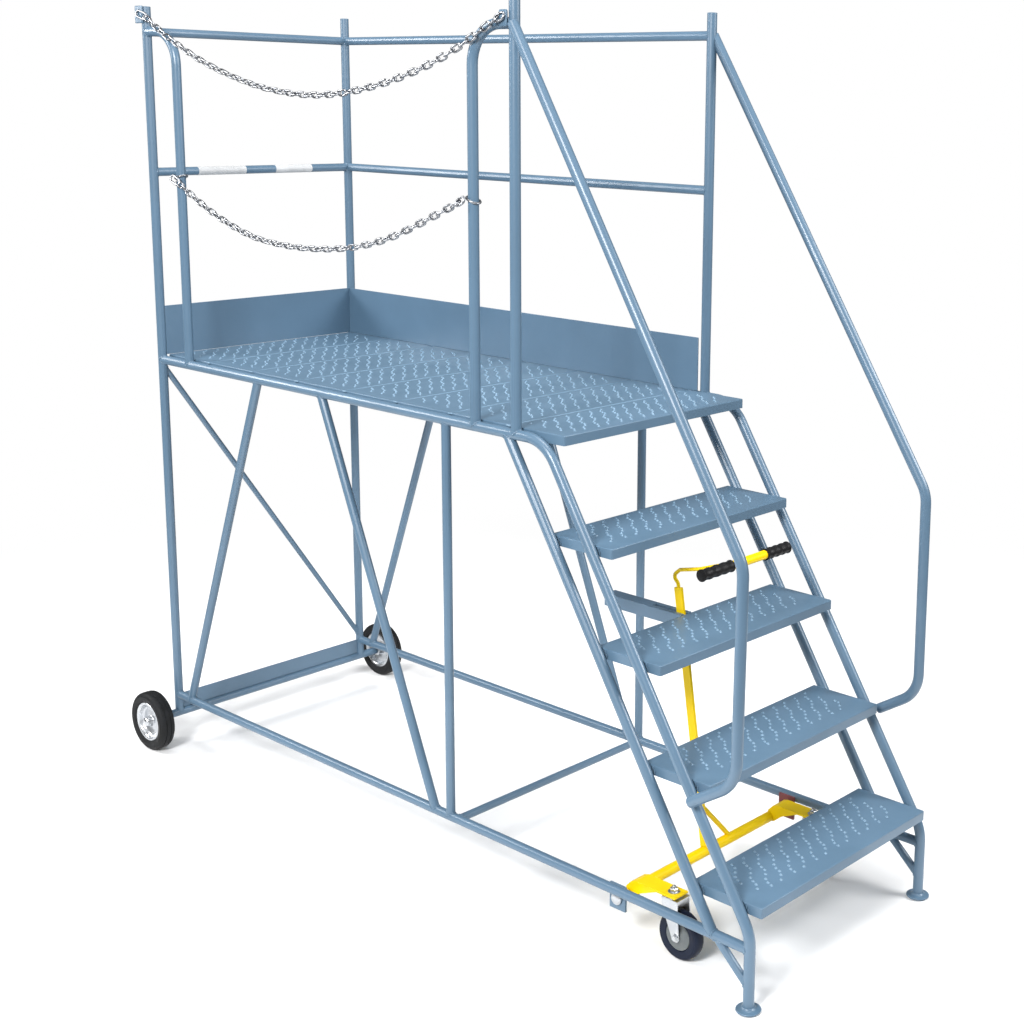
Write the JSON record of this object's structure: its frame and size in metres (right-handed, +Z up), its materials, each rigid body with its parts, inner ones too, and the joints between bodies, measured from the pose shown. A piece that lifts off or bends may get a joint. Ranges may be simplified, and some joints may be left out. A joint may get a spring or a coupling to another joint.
{
  "type": "mobile work platform with steps",
  "caption": "Welded tube work platform: guarded deck with toe boards and gate chains, steps with handrails, fixed rear wheels and a lever-operated castor lift.",
  "frame": {"origin": "on the floor, below the middle of the overall length and width", "axes": "+X from the rear wheels towards the steps, +Z up, the chain side at -Y"},
  "size_m": [2.4496, 0.962, 2.29],
  "materials": {
    "blue_paint": "semi-gloss blue-grey paint",
    "yellow_paint": "gloss yellow paint",
    "red_primer": "reddish-brown paint",
    "zinc": "bright zinc plate",
    "tyre_rubber": "black rubber",
    "castor_rubber": "dark navy rubber with a grey disc",
    "grip_plastic": "matte black"
  },
  "bodies": {
    "frame": {"rear_post_left": "blue_paint", "rear_post_right": "blue_paint", "guard_post_left": "blue_paint", "guard_post_right": "blue_paint", "mid_post_left": "blue_paint", "mid_post_right": "blue_paint", "base_rail_left": "blue_paint", "base_rail_right": "blue_paint", "side_tube_left": "blue_paint", "side_tube_right": "blue_paint", "back_stringer_left": "blue_paint", "back_stringer_right": "blue_paint", "handrail_left": "blue_paint", "handrail_right": "blue_paint", "rear_top_rail": "blue_paint", "rear_mid_rail": "blue_paint", "side_top_rail": "blue_paint", "side_mid_rail": "blue_paint", "gate_hoop_rear": "blue_paint", "gate_hoop_front": "blue_paint", "brace_rear_left": "blue_paint", "brace_front_left": "blue_paint", "brace_rear_right": "blue_paint", "brace_front_right": "blue_paint", "rear_diagonal": "blue_paint", "base_cross_tube": "blue_paint", "axle_channel": "blue_paint", "rear_axle": "blue_paint", "foot_brace_left": "blue_paint", "foot_brace_right": "blue_paint", "foot_disc_left": "blue_paint", "foot_disc_right": "blue_paint", "toe_board_rear": "blue_paint", "toe_board_side": "blue_paint", "deck": "blue_paint", "tread_1": "blue_paint", "tread_2": "blue_paint", "tread_3": "blue_paint", "tread_4": "blue_paint", "lever_guide": "blue_paint", "pivot_bracket_left": "blue_paint", "pivot_bracket_right": "red_primer", "hook_plate_rear": "blue_paint", "chain_upper": "zinc", "chain_lower": "zinc"},
    "rear_wheel_left": {"rear_tyre_left": "tyre_rubber", "rear_rim_left": "zinc"},
    "rear_wheel_right": {"rear_tyre_right": "tyre_rubber", "rear_rim_right": "zinc"},
    "lift": {"lift_shaft": "yellow_paint", "lift_arm_left": "yellow_paint", "lift_arm_right": "yellow_paint", "lever": "yellow_paint", "handle": "yellow_paint", "grip_left": "grip_plastic", "grip_right": "grip_plastic"},
    "castor_left": {"castor_fork_left": "zinc"},
    "castor_right": {"castor_fork_right": "zinc"},
    "castor_wheel_body_left": {"castor_wheel_left": "castor_rubber"},
    "castor_wheel_body_right": {"castor_wheel_right": "castor_rubber"}
  },
  "joints": [
    {"name": "rear_wheel_left_spin", "type": "hinge", "parent": "frame", "child": "rear_wheel_left", "pos_m": [-1.13225, -0.455, 0.0925], "axis": [0, 1, 0], "continuous": true},
    {"name": "rear_wheel_right_spin", "type": "hinge", "parent": "frame", "child": "rear_wheel_right", "pos_m": [-1.13225, 0.455, 0.0925], "axis": [0, 1, 0], "continuous": true},
    {"name": "castor_lift", "type": "hinge", "parent": "frame", "child": "lift", "pos_m": [0.77175, 0, 0.124], "axis": [0, -1, 0], "range_deg": [0, 6]},
    {"name": "castor_left_swivel", "type": "hinge", "parent": "lift", "child": "castor_left", "pos_m": [0.90275, -0.287, 0.156], "axis": [0, 0, 1], "continuous": true},
    {"name": "castor_left_spin", "type": "hinge", "parent": "castor_left", "child": "castor_wheel_body_left", "pos_m": [0.92875, -0.287, 0.0625], "axis": [0, 1, 0], "continuous": true},
    {"name": "castor_right_swivel", "type": "hinge", "parent": "lift", "child": "castor_right", "pos_m": [0.90275, 0.287, 0.156], "axis": [0, 0, 1], "continuous": true},
    {"name": "castor_right_spin", "type": "hinge", "parent": "castor_right", "child": "castor_wheel_body_right", "pos_m": [0.92875, 0.287, 0.0625], "axis": [0, 1, 0], "continuous": true}
  ]
}
